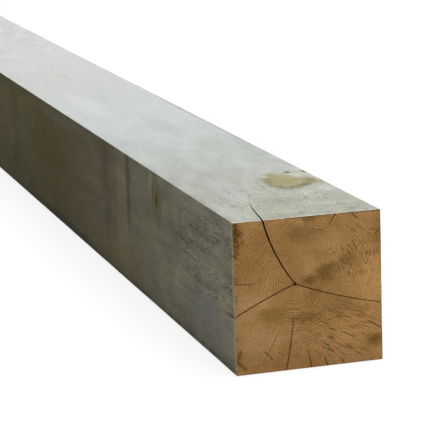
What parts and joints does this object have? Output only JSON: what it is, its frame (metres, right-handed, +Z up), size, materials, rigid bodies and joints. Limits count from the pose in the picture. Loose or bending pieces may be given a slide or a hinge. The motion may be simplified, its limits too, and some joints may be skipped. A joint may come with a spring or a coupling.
{
  "type": "oak beam",
  "caption": "Square sawn oak beam, boxed heart, weathered grey on its long faces, with a freshly cut brown end split by drying checks that run from the pith to its faces.",
  "frame": {"origin": "centre of the bottom face", "axes": "+X along the beam to its split end, +Y across it, +Z up"},
  "size_m": [3, 0.2, 0.2],
  "materials": {
    "oak": "sawn and weathered, no coating"
  },
  "bodies": {
    "root": {"beam": "oak"}
  },
  "joints": []
}
